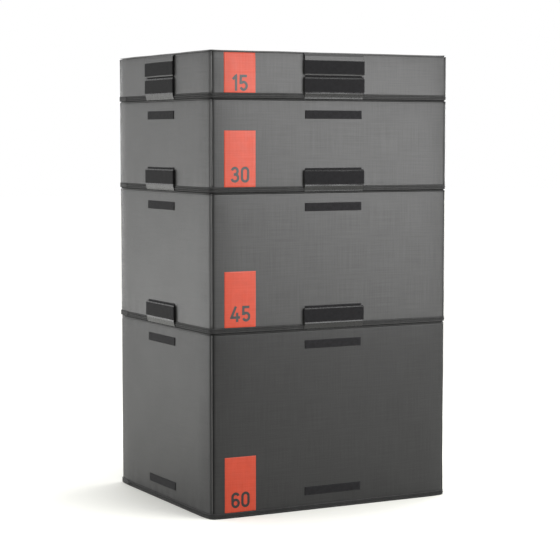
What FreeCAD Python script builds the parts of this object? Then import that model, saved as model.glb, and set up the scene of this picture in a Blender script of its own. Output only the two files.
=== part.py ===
# A stacking set of four soft plyo boxes. Each box is a core of laminated foam in a sewn cover of coated
# fabric, closed at the foot by a zip, and flaps with hook-and-loop pads tie each box to the next one.
# Millimetres, +Z up. The origin is the middle of the stack's foot, and the front faces -Y.

import FreeCAD, Part

import math
import os

# Heights of the boxes, each named by its height in centimetres
HEIGHT_60 = 600.0
HEIGHT_45 = 450.0
HEIGHT_30 = 300.0
HEIGHT_15 = 150.0

# Footprint and roundings, over the outside of the cover
WIDTH = 900.0
DEPTH = 750.0
CORNER_RADIUS = 15.0
DRAW_IN = 4.0  # each side falls back this far towards its corners
DRAW_LENGTH = 90.0  # the length of side, up to the corner, that falls back

# Sheets and foam
COVER_THICKNESS = 1.2
BASE_THICKNESS = 1.5
SLAB_THICKNESS = 150.0
FOAM_CLEARANCE = 0.3
SEWN_GAP = 0.1  # between layers that are sewn together
SEAM_GAP = 0.3  # between edges that meet in a seam

# Welt along the top edges and piping on the corner seams
TRIM_PROUD = 0.6  # how far the welt, the base sheet and the zip tapes stand out from the sides
WELT_HEIGHT = 6.0
PIPING_DIAMETER = 5.0
PIPING_CLEARANCE = 0.2

# Zip band round the foot: its tapes, its coil and its slider with the pull
BAND_HEIGHT = 17.5
TAPE_THICKNESS = 1.2
TAPE_GAP = 0.2
COIL_WIDTH = 6.0
COIL_PROUD = 1.8
SLIDER_LENGTH = 18.0
SLIDER_TAIL_HEIGHT = 9.4
SLIDER_NOSE_HEIGHT = 11.6
SLIDER_BEVEL = 2.0
SLIDER_PLATE = 1.0
SLIDER_CLEARANCE = 0.3
BRIDGE_LENGTH = 7.0
BRIDGE_WIDTH = 2.4
BRIDGE_HEIGHT = 1.2
BRIDGE_BAR = 0.4
BRIDGE_LEG = 1.2
PULL_THICKNESS = 0.6
PULL_LENGTH = 26.0
PULL_WIDTH = 7.0
PULL_EYE_WALL = 1.3
PULL_CLEARANCE = 0.1
END_STOP = 6.0  # from the end of the zip to its slider when the zip is closed

# Loop strips on the sides
STRIP_WIDTH = 212.0
STRIP_HEIGHT = 27.0
STRIP_THICKNESS = 2.2
STRIP_BELOW_TOP = 50.0  # from the top edge to the middle of the upper strips
STRIP_GRIP = 18.0  # height of the lower strips that a stowed flap holds

# Joining flaps
FLAP_WIDTH = 226.0
FLAP_ROOT = 22.0  # bare vinyl between the hinge line and the pads
FLAP_GAP = 12.0  # between the two stowed flaps on a side of the shallowest box
TONGUE_THICKNESS = 1.4
PAD_THICKNESS = 2.2
PAD_MARGIN = 1.0
FLAP_CLEARANCE = 0.3  # between a stowed or fastened pad and the strip under it
HINGE_CLEARANCE = 0.3

# How far cutting tools reach past what they cut
CUT_MARGIN = 1.0

BOXES = [
    {"name": "box_60", "height": HEIGHT_60, "flap_rows": []},
    {"name": "box_45", "height": HEIGHT_45, "flap_rows": ["bottom"]},
    {"name": "box_30", "height": HEIGHT_30, "flap_rows": ["bottom"]},
    {"name": "box_15", "height": HEIGHT_15, "flap_rows": ["bottom", "top"]},
]

# Each side is modelled as the front and turned to its place; CREST is its distance from the middle
FACE_ANGLE = {"front": 0.0, "right": 90.0, "back": 180.0, "left": 270.0}
CREST = {"front": DEPTH / 2, "right": WIDTH / 2, "back": DEPTH / 2, "left": WIDTH / 2}
ZIP_FACE = "right"

# Radius of the gentle arcs in the plan outline, which lie between its straight runs and its corners
GENTLE_RADIUS = ((DRAW_LENGTH - CORNER_RADIUS) ** 2 + DRAW_IN**2) / (2 * DRAW_IN)


def corner_shape(radius):
    """Inset of a corner arc's centre from both sides, and the angle at which the gentle arcs run into it."""
    reach = DRAW_LENGTH + GENTLE_RADIUS
    inset = (reach - math.sqrt(reach**2 - 2 * (DRAW_LENGTH**2 + 2 * GENTLE_RADIUS * radius - radius**2))) / 2
    return inset, math.atan2(DRAW_LENGTH - inset, GENTLE_RADIUS - inset)


# The corner seams run along the middle of the rounded corners, at the middle of the sheet
CORNER_INSET, GENTLE_ANGLE = corner_shape(CORNER_RADIUS)
CORNER_SEAM = (CORNER_RADIUS - COVER_THICKNESS / 2) * math.cos(math.pi / 4)
PIPING_RADIUS = PIPING_DIAMETER / 2

# The foam clears the sheets all round, and its corners are rounded to clear the piping as well
FOAM_INSET = COVER_THICKNESS + FOAM_CLEARANCE
PIPING_REACH = max(0.0, PIPING_RADIUS - COVER_THICKNESS / 2)
FOAM_CORNER_RADIUS = CORNER_RADIUS + PIPING_REACH / (1 / math.cos(math.pi / 4 - GENTLE_ANGLE) - 1)

# Levels of the zip, above the foot of its box
COIL_LEVEL = (BASE_THICKNESS + BAND_HEIGHT) / 2
COIL_BOTTOM = COIL_LEVEL - COIL_WIDTH / 2
COIL_TOP = COIL_LEVEL + COIL_WIDTH / 2
ZIP_END = CREST["back"] - DRAW_LENGTH
SLIDER_REST = ZIP_END - END_STOP - SLIDER_LENGTH / 2
SLIDER_TRAVEL = SLIDER_REST + ZIP_END - SLIDER_LENGTH / 2 - PULL_LENGTH

# Flap hinge lines: their stand-off from the side and their levels from the bottom and top edges
HINGE_STANDOFF = SEWN_GAP + STRIP_THICKNESS + FLAP_CLEARANCE + PAD_THICKNESS + TONGUE_THICKNESS / 2
ROOT_RISE = BASE_THICKNESS / 2
ROOT_DROP = WELT_HEIGHT / 2
FLAP_LENGTH = (HEIGHT_15 - ROOT_RISE - ROOT_DROP - FLAP_GAP) / 2


def vector(x, y, z=0.0):
    return FreeCAD.Vector(x, y, z)


def arc(centre, radius, start, end, signs):
    """An arc in the XY plane between two angles, mirrored into the quadrant that the signs name."""
    points = []
    for angle in (start, (start + end) / 2, end):
        x = centre[0] + radius * math.cos(angle)
        y = centre[1] + radius * math.sin(angle)
        points.append(vector(signs[0] * x, signs[1] * y))
    return Part.Arc(*points).toShape()


def outline(offset, corner_radius):
    """The plan outline of a box, moved outwards by an offset, as a closed wire of runs and tangent arcs."""
    half_width = WIDTH / 2
    half_depth = DEPTH / 2
    inset, gentle_angle = corner_shape(corner_radius)
    side_centre = (half_width - GENTLE_RADIUS, half_depth - DRAW_LENGTH)
    end_centre = (half_width - DRAW_LENGTH, half_depth - GENTLE_RADIUS)
    corner_centre = (half_width - inset, half_depth - inset)
    quarter = math.pi / 2
    edges = []
    for signs in ((1, 1), (-1, 1), (-1, -1), (1, -1)):
        gentle = GENTLE_RADIUS + offset
        edges.append(arc(side_centre, gentle, 0.0, gentle_angle, signs))
        edges.append(arc(corner_centre, corner_radius + offset, gentle_angle, quarter - gentle_angle, signs))
        edges.append(arc(end_centre, gentle, quarter - gentle_angle, quarter, signs))
    run_x = half_width - DRAW_LENGTH
    run_y = half_depth - DRAW_LENGTH
    for sign in (1, -1):
        y = sign * (half_depth + offset)
        x = sign * (half_width + offset)
        edges.append(Part.LineSegment(vector(-run_x, y), vector(run_x, y)).toShape())
        edges.append(Part.LineSegment(vector(x, -run_y), vector(x, run_y)).toShape())
    return Part.Wire(Part.__sortEdges__(edges))


def prism(offset, bottom, top, corner_radius=CORNER_RADIUS):
    """An upright prism on the plan outline."""
    face = Part.Face(outline(offset, corner_radius))
    face.translate(vector(0, 0, bottom))
    return face.extrude(vector(0, 0, top - bottom))


def ring(inner, outer, bottom, top):
    """An upright wall between two offsets of the plan outline."""
    return prism(outer, bottom, top).cut(prism(inner, bottom - CUT_MARGIN, top + CUT_MARGIN))


def behind(y, bottom, top):
    """A cutting block that holds everything behind a plane across the depth."""
    height = top - bottom + 2 * CUT_MARGIN
    return Part.makeBox(2 * WIDTH, DEPTH, height, vector(-WIDTH, y, bottom - CUT_MARGIN))


def block(crest, along, out, up):
    """A block on the front side, from its spans along the side, outwards from it and up."""
    corner = vector(along[0], -crest - out[1], up[0])
    return Part.makeBox(along[1] - along[0], out[1] - out[0], up[1] - up[0], corner)


def turned(shape, face):
    """A shape modelled on the front, turned to one of the four sides."""
    placed = shape.copy()
    placed.rotate(vector(0, 0), vector(0, 0, 1), FACE_ANGLE[face])
    return placed


def corner_cords(radius, bottom, top):
    """Four upright cords on the corner seams."""
    x = WIDTH / 2 - CORNER_INSET + CORNER_SEAM
    y = DEPTH / 2 - CORNER_INSET + CORNER_SEAM
    cords = []
    for sign_x, sign_y in ((1, 1), (-1, 1), (-1, -1), (1, -1)):
        cords.append(Part.makeCylinder(radius, top - bottom, vector(sign_x * x, sign_y * y, bottom)))
    return cords


def foam_core(foot, height):
    """Laminated slabs of equal thickness."""
    bottom = foot + BASE_THICKNESS + FOAM_CLEARANCE
    top = foot + height - FOAM_INSET
    count = max(1, round(height / SLAB_THICKNESS))
    step = (top - bottom) / count
    slabs = []
    for index in range(count):
        level = bottom + index * step
        slabs.append(prism(-FOAM_INSET, level, level + step, FOAM_CORNER_RADIUS))
    return slabs


def cover_panels(foot, height):
    """The top panel inside the welt, and the four side panels, parted along the corner seams."""
    bottom = foot + BAND_HEIGHT + SEAM_GAP
    top = foot + height
    side_top = top - WELT_HEIGHT - SEAM_GAP
    top_panel = prism(-COVER_THICKNESS - SEAM_GAP, top - COVER_THICKNESS, top)
    wall = ring(-COVER_THICKNESS, 0.0, bottom, side_top)
    channels = corner_cords(PIPING_RADIUS + PIPING_CLEARANCE, bottom - CUT_MARGIN, side_top + CUT_MARGIN)
    return [top_panel, *wall.cut(channels).Solids]


def base_panel(foot):
    """The bottom sheet, with its hem turned up along the back between the ends of the zip."""
    sheet = prism(TRIM_PROUD, foot, foot + BASE_THICKNESS)
    hem = ring(TRIM_PROUD - COVER_THICKNESS, TRIM_PROUD, foot, foot + BAND_HEIGHT)
    hem = hem.common(behind(ZIP_END + SEAM_GAP, foot, foot + BAND_HEIGHT))
    return [sheet.fuse(hem).removeSplitter()]


def zip_band(foot):
    """The two tapes and the closed coil, round the front and the two sides."""
    inner = TRIM_PROUD - TAPE_THICKNESS
    lower = ring(inner, TRIM_PROUD, foot + BASE_THICKNESS + TAPE_GAP, foot + COIL_BOTTOM - TAPE_GAP)
    upper = ring(inner, TRIM_PROUD, foot + COIL_TOP + TAPE_GAP, foot + BAND_HEIGHT)
    coil = ring(inner, COIL_PROUD, foot + COIL_BOTTOM, foot + COIL_TOP)
    back = behind(ZIP_END, foot, foot + BAND_HEIGHT)
    return [lower.cut(back), upper.cut(back), coil.cut(back)]


def zip_slider(foot):
    """The slider astride the coil, and its pull lying along the zip towards the front."""
    crest = CREST[ZIP_FACE]
    level = foot + COIL_LEVEL
    floor = TRIM_PROUD + SLIDER_CLEARANCE
    roof = COIL_PROUD + SLIDER_CLEARANCE
    skin = roof + SLIDER_PLATE
    half_length = SLIDER_LENGTH / 2
    tail = SLIDER_TAIL_HEIGHT / 2
    nose = SLIDER_NOSE_HEIGHT / 2
    corners = [(-half_length, -nose), (half_length, -tail), (half_length, tail), (-half_length, nose)]
    points = [vector(x, -crest - floor, level + z) for x, z in corners]
    body = Part.Face(Part.makePolygon([*points, points[0]])).extrude(vector(0, floor - skin, 0))
    upright = [edge for edge in body.Edges if edge.BoundBox.YLength > SLIDER_PLATE]
    body = body.makeChamfer(SLIDER_BEVEL, upright)
    tunnel = COIL_WIDTH / 2 + SLIDER_CLEARANCE
    reach = half_length + CUT_MARGIN
    bore = block(crest, (-reach, reach), (floor - CUT_MARGIN, roof), (level - tunnel, level + tunnel))
    body = body.cut(bore)
    half_bridge = BRIDGE_LENGTH / 2
    across = (level - BRIDGE_WIDTH / 2, level + BRIDGE_WIDTH / 2)
    arch = block(crest, (-half_bridge, half_bridge), (skin, skin + BRIDGE_HEIGHT), across)
    window = half_bridge - BRIDGE_LEG
    wide = (across[0] - CUT_MARGIN, across[1] + CUT_MARGIN)
    arch = arch.cut(block(crest, (-window, window), (skin, skin + BRIDGE_HEIGHT - BRIDGE_BAR), wide))
    body = body.fuse(arch)

    lie = (skin + PULL_CLEARANCE, skin + PULL_CLEARANCE + PULL_THICKNESS)
    deep = (lie[0] - CUT_MARGIN, lie[1] + CUT_MARGIN)
    eye = BRIDGE_WIDTH / 2 + PULL_CLEARANCE
    eye_end = -half_bridge - PULL_CLEARANCE
    rim = eye + PULL_EYE_WALL
    loop = block(crest, (eye_end - PULL_EYE_WALL, PULL_EYE_WALL / 2), lie, (level - rim, level + rim))
    loop = loop.cut(block(crest, (eye_end, -PULL_EYE_WALL / 2), deep, (level - eye, level + eye)))
    half_pull = PULL_WIDTH / 2
    round_end = half_pull - half_length - PULL_LENGTH
    grip = block(crest, (round_end, eye_end - PULL_EYE_WALL), lie, (level - half_pull, level + half_pull))
    tip_centre = vector(round_end, -crest - lie[1], level)
    tip = Part.makeCylinder(half_pull, PULL_THICKNESS, tip_centre, vector(0, 1, 0))
    pull = loop.fuse([grip, tip]).removeSplitter()
    placed = []
    for piece in (body, pull):
        piece.translate(vector(SLIDER_REST, 0))
        placed.append(turned(piece, ZIP_FACE))
    return placed


def flap_root(face, row, foot, height):
    """The strip of a flap that is sewn into the edge of its box, up to the hinge line."""
    level = hinge_level(row, foot, height)
    end = HINGE_STANDOFF - TONGUE_THICKNESS / 2 - HINGE_CLEARANCE
    half = TONGUE_THICKNESS / 2
    along = (-FLAP_WIDTH / 2, FLAP_WIDTH / 2)
    strip = block(CREST[face], along, (TRIM_PROUD + SEWN_GAP, end), (level - half, level + half))
    return turned(strip, face)


def edge_binding(box, foot):
    """The welt on the top edges, the piping on the corner seams and the sewn roots of the flaps."""
    top = foot + box["height"]
    pieces = [ring(-COVER_THICKNESS, TRIM_PROUD, top - WELT_HEIGHT, top)]
    pieces += corner_cords(PIPING_RADIUS, foot + BAND_HEIGHT + SEAM_GAP, top - WELT_HEIGHT - SEAM_GAP)
    for row in box["flap_rows"]:
        pieces += [flap_root(face, row, foot, box["height"]) for face in FACE_ANGLE]
    return pieces


def strip_levels(box):
    """Heights of the middles of the strips above the foot of a box."""
    if "top" in box["flap_rows"]:
        return [box["height"] / 2]
    lower = ROOT_RISE + FLAP_LENGTH - STRIP_GRIP + STRIP_HEIGHT / 2
    return [lower, box["height"] - STRIP_BELOW_TOP]


def loop_strips(box, foot):
    """Loop strips on all four sides."""
    strips = []
    for face, crest in CREST.items():
        for level in strip_levels(box):
            strip = block(
                crest,
                (-STRIP_WIDTH / 2, STRIP_WIDTH / 2),
                (SEWN_GAP, SEWN_GAP + STRIP_THICKNESS),
                (foot + level - STRIP_HEIGHT / 2, foot + level + STRIP_HEIGHT / 2),
            )
            strips.append(turned(strip, face))
    return strips


def hinge_level(row, foot, height):
    """Height of a flap's hinge line."""
    return foot + ROOT_RISE if row == "bottom" else foot + height - ROOT_DROP


def flap_tongue(face, row, foot, height):
    """A flat vinyl tongue, stowed along its side, with a rounded root on the hinge line."""
    level = hinge_level(row, foot, height)
    way = 1 if row == "bottom" else -1
    half = TONGUE_THICKNESS / 2
    middle = -CREST[face] - HINGE_STANDOFF
    tip = level + way * FLAP_LENGTH
    start = -FLAP_WIDTH / 2
    root = Part.Arc(
        vector(start, middle - half, level),
        vector(start, middle, level - way * half),
        vector(start, middle + half, level),
    )
    sides = Part.makePolygon(
        [
            vector(start, middle + half, level),
            vector(start, middle + half, tip),
            vector(start, middle - half, tip),
            vector(start, middle - half, level),
        ]
    )
    section = Part.Face(Part.Wire([root.toShape(), *sides.Edges]))
    return [turned(section.extrude(vector(FLAP_WIDTH, 0, 0)), face)]


def flap_pads(face, row, foot, height):
    """The two hook-and-loop pads, one on each face of the tongue."""
    level = hinge_level(row, foot, height)
    way = 1 if row == "bottom" else -1
    reach = sorted((level + way * FLAP_ROOT, level + way * (FLAP_LENGTH - PAD_MARGIN)))
    along = (PAD_MARGIN - FLAP_WIDTH / 2, FLAP_WIDTH / 2 - PAD_MARGIN)
    half = TONGUE_THICKNESS / 2
    inner = (HINGE_STANDOFF - half - PAD_THICKNESS, HINGE_STANDOFF - half)
    outer = (HINGE_STANDOFF + half, HINGE_STANDOFF + half + PAD_THICKNESS)
    return [turned(block(CREST[face], along, out, reach), face) for out in (inner, outer)]


def write(node, solids):
    """Writes the solids of one node to its file."""
    shape = solids[0] if len(solids) == 1 else Part.makeCompound(solids)
    shape.exportStep(f"parts/{node}.step")


def main():
    os.makedirs("parts", exist_ok=True)
    foot = 0.0
    for box in BOXES:
        name = box["name"]
        height = box["height"]
        write(f"{name}_foam_core", foam_core(foot, height))
        write(f"{name}_cover_panels", cover_panels(foot, height))
        write(f"{name}_base_panel", base_panel(foot))
        write(f"{name}_zip", zip_band(foot))
        write(f"{name}_zip_slider", zip_slider(foot))
        write(f"{name}_edge_binding", edge_binding(box, foot))
        write(f"{name}_loop_strips", loop_strips(box, foot))
        for row in box["flap_rows"]:
            for face in FACE_ANGLE:
                flap = f"{name}_{row}_flap_{face}"
                write(f"{flap}_tongue", flap_tongue(face, row, foot, height))
                write(f"{flap}_pads", flap_pads(face, row, foot, height))
        foot += height


main()
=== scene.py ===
import math
from collections import namedtuple

import bpy
import numpy as np
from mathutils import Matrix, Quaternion, Vector, noise
from mathutils.bvhtree import BVHTree


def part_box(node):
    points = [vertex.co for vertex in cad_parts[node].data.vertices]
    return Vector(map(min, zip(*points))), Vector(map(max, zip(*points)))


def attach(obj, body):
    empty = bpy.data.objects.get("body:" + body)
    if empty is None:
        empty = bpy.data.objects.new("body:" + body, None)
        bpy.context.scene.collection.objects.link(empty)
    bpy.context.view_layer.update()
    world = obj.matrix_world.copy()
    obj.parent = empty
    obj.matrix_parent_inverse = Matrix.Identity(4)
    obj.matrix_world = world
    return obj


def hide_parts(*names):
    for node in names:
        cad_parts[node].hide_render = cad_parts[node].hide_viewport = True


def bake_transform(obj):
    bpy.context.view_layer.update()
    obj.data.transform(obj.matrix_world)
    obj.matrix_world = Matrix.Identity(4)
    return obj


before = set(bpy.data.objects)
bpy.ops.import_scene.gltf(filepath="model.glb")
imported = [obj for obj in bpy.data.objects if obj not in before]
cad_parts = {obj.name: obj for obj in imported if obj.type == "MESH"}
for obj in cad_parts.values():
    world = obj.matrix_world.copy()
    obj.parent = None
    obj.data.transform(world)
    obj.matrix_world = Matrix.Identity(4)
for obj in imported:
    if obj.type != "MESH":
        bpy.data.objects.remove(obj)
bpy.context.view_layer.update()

# Lengths are in metres. The ones in this block repeat the part's own values
MM = 0.001
CORNER = 15 * MM
DRAW_LENGTH = 90 * MM
GENTLE_RADIUS = 705 * MM
BASE_THICKNESS = 1.5 * MM
BAND_HEIGHT = 17.5 * MM
TRIM_PROUD = 0.6 * MM
COIL_BOTTOM = 6.5 * MM
COIL_TOP = 12.5 * MM
ZIP_END = 285 * MM
STRIP_WIDTH = 212 * MM
STRIP_HEIGHT = 27 * MM
STRIP_BELOW_TOP = 50 * MM
STRIP_LOW = 63.4 * MM
FLAP_WIDTH = 226 * MM
FLAP_LENGTH = 67.1 * MM
FLAP_ROOT = 22 * MM
HINGE_STANDOFF = 5.5 * MM
ROOT_RISE = 0.75 * MM
ROOT_DROP = 3 * MM
TONGUE_THICKNESS = 1.4 * MM
PAD_MARGIN = 1 * MM

# Grids and paths
ROUND_CELLS = 4
CELL = 8 * MM
FINE_CELL = 5 * MM
COARSE_CELL = 16 * MM
CELL_GROWTH = 0.12
SWELL_CELL = 25 * MM
SWELL_FRAMES = 20
HELD_REACH = 1.5 * CORNER
PATH_STEP = 6 * MM
TURN_CELLS = 8
RAY_START = 50 * MM
TINY = 1e-9
FACING = 0.5  # the share of a normal along an axis from which it faces that way
SQUARELY = 0.7

# Shape of the covers
SEAM_INSET = 2 * MM  # the sewn edges lie this far inside the middles of the sides
TOP_ROUNDING = 7 * MM
FOOT_ROUNDING = 3 * MM
CROWN_SHARPNESS = 4
CORNER_REACH = 28 * MM
EDGE_TUCK = 5 * MM
EDGE_TUCK_REACH = 7 * MM
SEAM_TUCK = 1.2 * MM
SEAM_TUCK_REACH = 4 * MM
TOP_LOWERED = 0.3 * MM
TOP_DIP = 1.2 * MM
TOP_DIP_LENGTH = 160 * MM
TOP_DIP_MARGIN = 100 * MM
LIFT = 1.6 * MM
LIFT_WAVE = 1.3 * MM
LIFT_LENGTH = 170 * MM
LIFT_SEED = 3.3
LIFT_DEPTH = 50 * MM

# Waves and puckers of the covers: their depth and length, and the distance from a seam in which they fade
Pucker = namedtuple("Pucker", "depth length fade")
BY_ZIP = Pucker(1.0 * MM, 30 * MM, 28 * MM)
BY_TOP = Pucker(0.7 * MM, 40 * MM, 30 * MM)
BY_CORNER = Pucker(0.6 * MM, 35 * MM, 30 * MM)
PUCKER_STRETCH = 0.3
SLOW_WAVE = 0.5 * MM
SLOW_LENGTH = 220 * MM

# Painted shade along the sewn edges and under the top edge, where the creases hold shade: how far it reaches,
# and how strong it is where a lapped edge has 1
LAPPED_REACH = 6.5 * MM
PLAIN_REACH = 2.5 * MM
PLAIN_SHADE = 0.3
LIT_CORNER_SHADE = 0.12
TOP_EDGE_REACH = 2.5 * MM
TOP_EDGE_SHADE = 0.6

# Thread
STITCH_PITCH = 6 * MM
STITCH_LENGTH = 4.2 * MM
SHORT_PITCH = 5 * MM
SHORT_LENGTH = 3.4 * MM
STITCH_WIDTH = 0.9 * MM
STITCH_PROUD = 0.5 * MM
STITCH_SUNK = 0.2 * MM
STITCH_SHOULDER = 0.55
STITCH_FACES = [
    (0, 2, 3), (0, 3, 4), (0, 4, 2),
    (2, 5, 6, 3), (3, 6, 7, 4), (4, 7, 5, 2),
    (1, 6, 5), (1, 7, 6), (1, 5, 7),
]

SIDES = {
    "front": (Vector((1, 0, 0)), Vector((0, -1, 0))),
    "right": (Vector((0, 1, 0)), Vector((1, 0, 0))),
    "back": (Vector((-1, 0, 0)), Vector((0, 1, 0))),
    "left": (Vector((0, -1, 0)), Vector((-1, 0, 0))),
}
UP = Vector((0, 0, 1))

# Each box's number and how high it stands, the tone and gloss of the cover, the radius of the corner piping
# and the rows of flaps
Look = namedtuple("Look", "number rise tone gloss cord flaps")
LOOKS = {
    "box_60": Look("60", 32 * MM, 0.026, 0.22, 1.8 * MM, ()),
    "box_45": Look("45", 36 * MM, 0.04, 0.34, 2.6 * MM, ("bottom",)),
    "box_30": Look("30", 32 * MM, 0.045, 0.34, 3.6 * MM, ("bottom",)),
    "box_15": Look("15", 23.5 * MM, 0.048, 0.37, 3.6 * MM, ("bottom", "top")),
}


class Box:
    """One soft box: its place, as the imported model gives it, and its cover's surface once that is made."""

    def __init__(self, name):
        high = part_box(f"{name}_cover_panels")[1]
        self.name = name
        self.look = LOOKS[name]
        self.half_width = high[0]
        self.half_depth = high[1]
        self.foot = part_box(f"{name}_base_panel")[0][2]
        self.top = high[2]
        self.height = self.top - self.foot
        self.free_top = "top" in self.look.flaps
        self.surface = None

    def crest(self, side):
        return self.half_width if side in ("left", "right") else self.half_depth

    def at(self, side, along, out, z):
        """A point by a side: its distance along the side and out from the side's crest, and its height."""
        run, normal = SIDES[side]
        return run * along + normal * (self.crest(side) + out) + UP * z

    def on(self, side, along, out, z):
        """A point that stands off the cover's surface."""
        normal = SIDES[side][1]
        start = self.at(side, along, RAY_START, z)
        hit = self.surface.ray_cast(start, -normal)[0]
        return (hit if hit is not None else self.at(side, along, -SEAM_INSET, z)) + normal * out

    def over(self, p):
        """The point of the top panel above a place in plan."""
        return self.surface.ray_cast(Vector((p[0], p[1], self.top + RAY_START)), -UP)[0]


def draw_in(along, half):
    """How far a side falls back towards its corners."""
    past = np.maximum(np.abs(along) - (half - DRAW_LENGTH), 0)
    return GENTLE_RADIUS - np.sqrt(GENTLE_RADIUS**2 - past**2)


def warp(box, x, y):
    """Draws a rectangle's corners in."""
    across = 1 - draw_in(y, box.half_depth) / box.half_width
    along = 1 - draw_in(x, box.half_width) / box.half_depth
    return x * across, y * along


def between(a, b, step, least):
    """Even points on a flat line from one end up to, but not with, the other."""
    count = max(least, int(math.dist(a, b) / step))
    return [(a[0] + (b[0] - a[0]) * k / count, a[1] + (b[1] - a[1]) * k / count) for k in range(count)]


def running(points):
    """Distances along a line to each of its points."""
    lengths = [0.0]
    for a, b in zip(points, points[1:]):
        lengths.append(lengths[-1] + math.dist(a, b))
    return lengths


def plan_path(box, offset):
    """Points and outward normals round a box in plan, anticlockwise from the middle of its back."""
    half_w = box.half_width + offset
    half_d = box.half_depth + offset
    radius = CORNER + offset
    x, y = half_w - radius, half_d - radius

    def run(a, b):
        return between(a, b, PATH_STEP, 2)

    def turn(cx, cy, start):
        angles = [math.radians(start + 90 * k / TURN_CELLS) for k in range(TURN_CELLS)]
        return [(cx + radius * math.cos(a), cy + radius * math.sin(a)) for a in angles]

    flat = np.array(
        [
            *run((0, half_d), (-x, half_d)),
            *turn(-x, y, 90),
            *run((-half_w, y), (-half_w, -y)),
            *turn(-x, -y, 180),
            *run((-x, -half_d), (x, -half_d)),
            *turn(x, -y, 270),
            *run((half_w, -y), (half_w, y)),
            *turn(x, y, 0),
            *run((x, half_d), (0, half_d)),
        ]
    )
    path = np.stack(warp(box, flat[:, 0], flat[:, 1]), axis=1)
    ahead = np.roll(path, -1, axis=0) - np.roll(path, 1, axis=0)
    ahead /= np.linalg.norm(ahead, axis=1, keepdims=True)
    return path, np.stack([ahead[:, 1], -ahead[:, 0]], axis=1)


def ripple(x, y, z, scale, seed=0.0):
    """Smooth noise from about -1 to 1 at a point, with features of about the scale's length."""
    return noise.noise(Vector((x / scale + seed, y / scale - seed, z / scale + 2 * seed)))


# Meshes


def mesh_object(name, verts, faces, material, uv=None, loop_uv=None, smooth=True):
    """A mesh object in the scene, with texture coordinates in metres for each vertex or each corner."""
    mesh = bpy.data.meshes.new(name)
    mesh.from_pydata([tuple(v) for v in verts], [], [tuple(f) for f in faces])
    layer = mesh.uv_layers.new(name="UVMap")
    if loop_uv is None:
        corner = np.empty(len(mesh.loops), dtype=np.int32)
        mesh.loops.foreach_get("vertex_index", corner)
        loop_uv = np.asarray(uv, dtype=np.float32)[corner]
    layer.data.foreach_set("uv", np.asarray(loop_uv, dtype=np.float32).ravel())
    mesh.polygons.foreach_set("use_smooth", [smooth] * len(mesh.polygons))
    mesh.materials.append(material)
    mesh.update()
    made = bpy.data.objects.new(name, mesh)
    bpy.context.scene.collection.objects.link(made)
    return made


def settle(piece, body, slot, *nodes):
    """Puts a piece on its body and hides the body's nodes that it stands in for; the slot is not used."""
    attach(piece, body)
    if nodes:
        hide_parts(*[f"{body}_{node}" for node in nodes])


class Parts:
    """Gathers separate shells into one mesh."""

    def __init__(self):
        self.verts = []
        self.faces = []
        self.uv = []

    def add(self, verts, faces, uv):
        start = len(self.verts)
        self.verts.extend(verts)
        self.faces.extend([[i + start for i in f] for f in faces])
        self.uv.extend(uv)

    def build(self, body, part, material, slot, *nodes, smooth=True):
        """Makes the mesh a piece of a body."""
        made = mesh_object(f"{body}_{part}", self.verts, self.faces, material, uv=self.uv, smooth=smooth)
        settle(made, body, slot, *nodes)
        return made


def sweep(rings, closed):
    """Joins rings of points, each a closed loop, into a tube; an open tube gets end caps."""
    count = len(rings)
    size = len(rings[0])
    verts = [p for ring in rings for p in ring]
    faces = []
    for k in range(count if closed else count - 1):
        here, there = k * size, (k + 1) % count * size
        for j in range(size):
            i = (j + 1) % size
            faces.append((here + j, there + j, there + i, here + i))
    if not closed:
        faces.append(list(range(size)))
        faces.append([(count - 1) * size + j for j in range(size - 1, -1, -1)])
    return verts, faces


def tube_uv(rings, lengths):
    """Texture coordinates along a tube and round it."""
    girth = running(rings[0])
    return [(s, g) for s in lengths for g in girth]


def plan_sweep(path, normals, profile, closed, drift):
    """Carries a profile, given as offsets outwards and heights, along a path in plan."""
    rings = []
    for p, n in zip(path, normals):
        out, rise = drift(p)
        rings.append([(p[0] + n[0] * (o + out), p[1] + n[1] * (o + out), z + rise) for o, z in profile])
    return *sweep(rings, closed), tube_uv(rings, running(path))


def oval(centre_out, centre_z, half_out, half_z, count=10):
    """A profile: an oval round a centre."""
    angles = [2 * math.pi * k / count for k in range(count)]
    return [(centre_out + half_out * math.cos(a), centre_z + half_z * math.sin(a)) for a in angles]


def grid_faces(nu, nv):
    """Faces between the points of a grid, which run row by row."""
    starts = [j * nu + i for j in range(nv - 1) for i in range(nu - 1)]
    return [(a, a + 1, a + nu + 1, a + nu) for a in starts]


Slab = namedtuple("Slab", "width height thickness bevel cells_u cells_v sunk")


def slab(place, form):
    """A closed slab with rounded edges. place turns its distances along, up and out into a point."""
    edge_drop = 0.7 * form.bevel
    corner_shrink = 0.4 * form.bevel

    def spread(length, cells):
        half = length / 2
        return [-half, *np.linspace(form.bevel - half, half - form.bevel, cells + 1), half]

    us, vs = spread(form.width, form.cells_u), spread(form.height, form.cells_v)
    nu, nv = len(us), len(vs)
    verts, uv = [], []
    for j, v in enumerate(vs):
        for i, u in enumerate(us):
            rim_u = i in (0, nu - 1)
            rim_v = j in (0, nv - 1)
            drop = edge_drop if rim_u or rim_v else 0.0
            shrink = corner_shrink if rim_u and rim_v else 0.0
            pu = u - math.copysign(shrink, u)
            pv = v - math.copysign(shrink, v)
            verts.append(place(pu, pv, form.thickness - drop))
            uv.append((pu, pv))
    faces = grid_faces(nu, nv)
    rim = [
        *range(nu),
        *[j * nu + nu - 1 for j in range(1, nv)],
        *[(nv - 1) * nu + i for i in range(nu - 2, -1, -1)],
        *[j * nu for j in range(nv - 2, 0, -1)],
    ]
    start = len(verts)
    for a in rim:
        verts.append(place(*uv[a], -form.sunk))
        uv.append(uv[a])
    for k in range(len(rim)):
        n = (k + 1) % len(rim)
        faces.append((rim[n], rim[k], start + k, start + n))
    faces.append([start + k for k in range(len(rim) - 1, -1, -1)])
    return verts, faces, uv


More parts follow.
